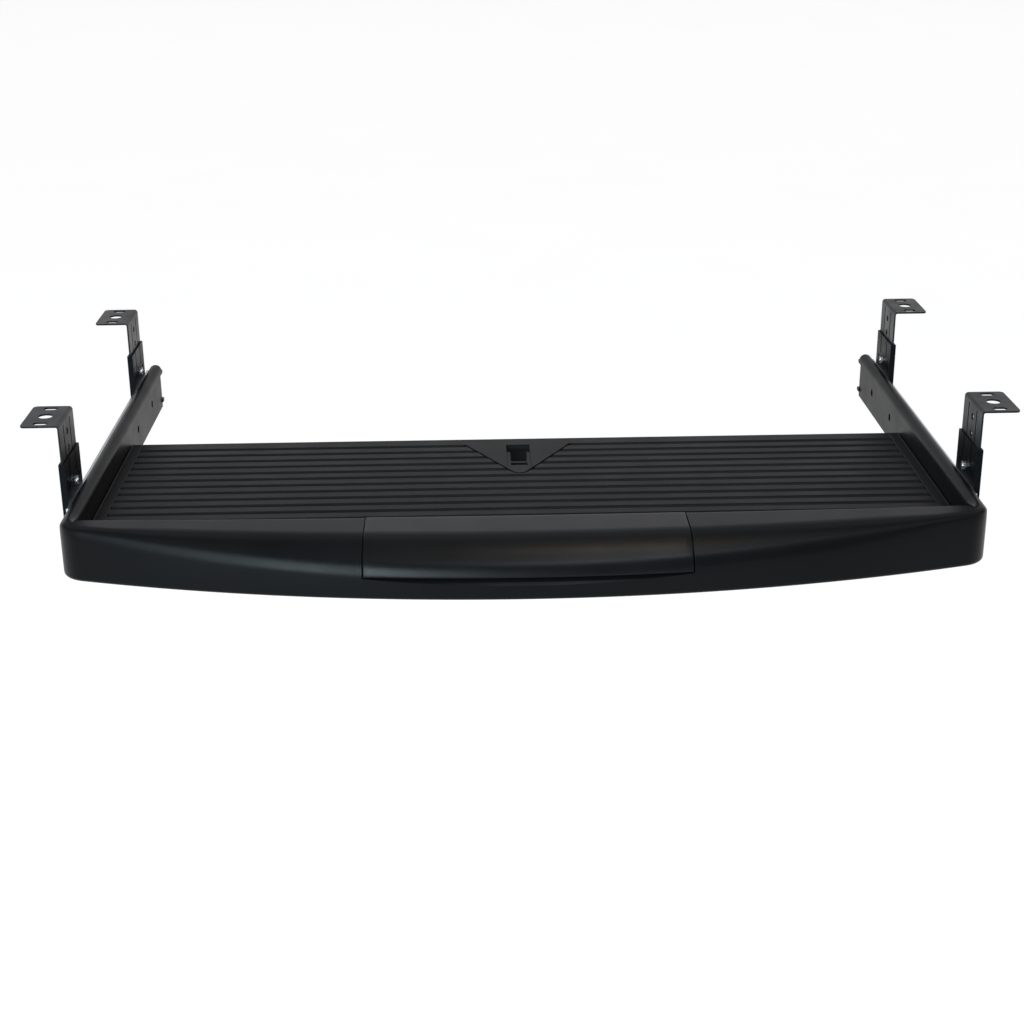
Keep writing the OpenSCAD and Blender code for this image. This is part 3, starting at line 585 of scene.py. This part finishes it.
def solid_boxes(node):
    """Boxes of the separate solids in a CAD node, in metres."""
    obj = frame["nodes"][node]
    bm = bmesh.new()
    bm.from_mesh(obj.data)
    bm.transform(obj.matrix_world)
    bmesh.ops.remove_doubles(bm, verts=bm.verts, dist=WELD_GAP)
    seen, boxes = set(), []
    for first in bm.verts:
        if first in seen:
            continue
        seen.add(first)
        island, points = [first], []
        while island:
            vert = island.pop()
            points.append(vert.co.copy())
            near = {edge.other_vert(vert) for edge in vert.link_edges} - seen
            seen |= near
            island += near
        low = Vector(min(p[i] for p in points) for i in range(3))
        high = Vector(max(p[i] for p in points) for i in range(3))
        boxes.append((low, high))
    bm.free()
    return boxes


def thread(start, end, radius):
    """Rings of a threaded shank with a chamfered end."""
    root = radius - THREAD_DEPTH
    rings = []
    x = start
    while x + THREAD_PITCH < end - THREAD_END:
        crest_from, crest_to = x + THREAD_RISE * THREAD_PITCH, x + THREAD_FALL * THREAD_PITCH
        rings += [(x, root), (crest_from, radius), (crest_to, radius)]
        x += THREAD_PITCH
    return rings + [(x, root), (end - THREAD_END, root), (end, radius - THREAD_TAPER * THREAD_DEPTH)]


def bolt_rings(length):
    """Hexagon bolt: head with a conical chamfer and a round washer face, then its thread."""
    flat = BOLT_HEAD_W / 2
    chamfer_r, washer_r = CHAMFER_SHARE * flat, WASHER_SHARE * flat
    washer_x = BOLT_HEAD_H - WASHER_T
    rings = []
    for i in range(CHAMFER_N + 1):
        x = CHAMFER_H * i / CHAMFER_N
        rings.append((x, chamfer_r + CHAMFER_SLOPE * x, flat))
    # A radius as large as the head's width leaves the hexagon whole
    rings += [(washer_x, BOLT_HEAD_W, flat), (washer_x, washer_r), (BOLT_HEAD_H, washer_r)]
    return rings + thread(BOLT_HEAD_H, length, BOLT_D / 2)


def screw_rings(length):
    """Pan head screw without its cross recess."""
    return SCREW_FACE + SCREW_RIM + thread(SCREW_HEAD_H, length, SCREW_D / 2)


def rivet_rings(length):
    """Flush rivet with a set mark in its middle and rounded rims."""
    return RIVET_MARK + RIVET_RIM + [(length - RIVET_BACK_H, RIVET_D / 2), (length, RIVET_BACK_R)]


def turn(name, rings):
    """Solid turned about X from rings of distance, radius and, for a hexagon, half its width."""
    verts = []
    for x, radius, *flat in rings:
        for i in range(TURN_N):
            angle = 2 * pi * i / TURN_N
            r = min([radius] + [f / cos((angle + pi / 6) % (pi / 3) - pi / 6) for f in flat])
            verts.append((x * MM, r * sin(angle) * MM, r * cos(angle) * MM))
    obj = tube(name, verts, TURN_N)
    bm = bmesh.new()
    bm.from_mesh(obj.data)
    bmesh.ops.recalc_face_normals(bm, faces=bm.faces)
    bm.to_mesh(obj.data)
    bm.free()
    return obj


def cross_bits():
    """Two tapered blades that press a cross recess into a screw head."""
    blades = []
    for turned in (45, 135):
        bm = bmesh.new()
        bmesh.ops.create_cube(bm, size=1)
        for vert in bm.verts:
            deep = vert.co.x > 0
            x = BLADE_FLOOR_X if deep else BLADE_MOUTH_X
            wide, thick = BLADE_FLOOR if deep else BLADE_MOUTH
            vert.co = Vector((x, vert.co.y * wide, vert.co.z * thick)) * MM
        bm.transform(Matrix.Rotation(radians(turned), 4, "X"))
        mesh = bpy.data.meshes.new("blade")
        bm.to_mesh(mesh)
        bm.free()
        blades.append(add_object("blade", mesh))
    return blades


def add_fasteners(node, slot, body, rings, outward, cross=False):
    """Puts a finely made fastener where each plain solid of a CAD node is."""
    boxes = solid_boxes(node)
    low, high = boxes[0]
    sample = turn(node + "_skin", rings((high.x - low.x) / MM))
    if cross:
        carve(sample, cross_bits())
    bm = bmesh.new()
    for low, high in boxes:
        right = low.x > 0
        away = right == outward
        head_x = high.x if away else low.x
        place = Matrix.Translation((head_x, (low.y + high.y) / 2, (low.z + high.z) / 2))
        spin = Matrix.Rotation(pi if away else 0.0, 4, "Z")
        copy = sample.data.copy()
        copy.transform(place @ spin)
        bm.from_mesh(copy)
        bpy.data.meshes.remove(copy)
    bm.to_mesh(sample.data)
    bm.free()
    polish(sample)
    finish_piece(sample, slot, body, node)


def stage_paint():
    """Pale paint that takes the tray's soft shadow, and glows where a camera or a mirror sees it."""
    n = Nodes("pale_floor")
    n.feed("Base Color", n.ramp(n.noise(scale=3), (0.29, 0.29, 0.295), (0.31, 0.31, 0.315)))
    n.set(Roughness=0.9, Specular_IOR_Level=0.0, Emission_Color=(1, 1, 1, 1))
    path = n.tree.nodes.new("ShaderNodeLightPath")
    seen = path.outputs["Is Camera Ray"]
    for ray in ("Is Glossy Ray", "Is Transmission Ray"):
        either = n.tree.nodes.new("ShaderNodeMath")
        either.operation = "MAXIMUM"
        n.link(seen, either.inputs[0])
        n.link(path.outputs[ray], either.inputs[1])
        seen = either.outputs[0]
    n.feed("Emission Strength", n.span(seen, low=0.0, high=STAGE_GLOW, start=0.0, end=1.0))
    return n.material


def stage_piece(name, verts, faces, paint):
    mesh = bpy.data.meshes.new(name)
    mesh.from_pydata(verts, [], faces)
    mesh.materials.append(paint)
    return add_object(name, mesh)


def add_floor():
    """Plain pale floor, and a round backdrop of the same paint."""
    paint = stage_paint()
    corners = [(-1, -1), (1, -1), (1, 1), (-1, 1)]
    floor_verts = [(x * STAGE_R, y * STAGE_R, FLOOR_Z) for x, y in corners]
    floor = stage_piece("floor", floor_verts, [(0, 1, 2, 3)], paint)
    angles = [2 * pi * i / STAGE_SIDES for i in range(STAGE_SIDES)]
    wall_verts = [(STAGE_R * cos(a), STAGE_R * sin(a), z) for z in (FLOOR_Z, BACKDROP_Z) for a in angles]
    pairs = [(i, (i + 1) % STAGE_SIDES) for i in range(STAGE_SIDES)]
    wall_faces = [(i, j, STAGE_SIDES + j, STAGE_SIDES + i) for i, j in pairs]
    wall = stage_piece("backdrop", wall_verts, wall_faces, paint)


def aim(lamp, direction):
    lamp.rotation_euler = Vector(direction).to_track_quat("-Z", "Y").to_euler()


def add_lamp(name, place, target, size, power, colour):
    data = bpy.data.lights.new(name, "AREA")
    data.shape = "RECTANGLE"
    data.size, data.size_y = size
    data.energy = power
    data.color = colour
    lamp = add_object(name, data)
    lamp.location = place
    aim(lamp, Vector(target) - Vector(place))


def add_sun(name, direction):
    data = bpy.data.lights.new(name, "SUN")
    data.energy = SUN_STRENGTH
    data.angle = radians(SUN_WIDTH)
    aim(add_object(name, data), direction)


def add_room():
    """World light that is paler behind the tray than overhead."""
    world = bpy.data.worlds.new("room")
    world.use_nodes = True
    tree = world.node_tree
    coordinates = tree.nodes.new("ShaderNodeTexCoord")
    towards = tree.nodes.new("ShaderNodeVectorMath")
    towards.operation = "DOT_PRODUCT"
    towards.inputs[1].default_value = (0, cos(radians(ROOM_LIFT)), sin(radians(ROOM_LIFT)))
    tone = tree.nodes.new("ShaderNodeValToRGB")
    first, last = tone.color_ramp.elements
    first.position, first.color = ROOM_DARK_TO, ROOM_DARK
    last.position, last.color = ROOM_PALE_FROM, ROOM_PALE
    background = tree.nodes["Background"]
    background.inputs["Strength"].default_value = ROOM_STRENGTH
    tree.links.new(coordinates.outputs["Generated"], towards.inputs[0])
    tree.links.new(towards.outputs["Value"], tone.inputs["Fac"])
    tree.links.new(tone.outputs["Color"], background.inputs["Color"])
    scene.world = world


def add_light():
    """Soft studio light: two suns, area lamps and the room."""
    add_sun("left", (SUN_ASIDE, SUN_AHEAD, SUN_DOWN))
    add_sun("right", (-SUN_ASIDE, SUN_AHEAD, SUN_DOWN))
    for lamp in LAMPS:
        add_lamp(*lamp)
    add_room()


add_camera()
dress_nodes()
add_palm_rest()
add_centre_panel()
add_fasteners("height_bolts", "fastener_zinc", "carriage", bolt_rings, outward=True)
add_fasteners("rail_rivets", "fastener_zinc", "carriage", rivet_rings, outward=True)
add_fasteners("rail_screws", "fastener_zinc", "tray", screw_rings, outward=True, cross=True)
add_fasteners("deck_screws", "screw_black", "tray", screw_rings, outward=False, cross=True)
add_fasteners("frame_screws", "screw_black", "tray", screw_rings, outward=False, cross=True)
add_floor()
add_light()
scene.view_settings.view_transform = "Standard"
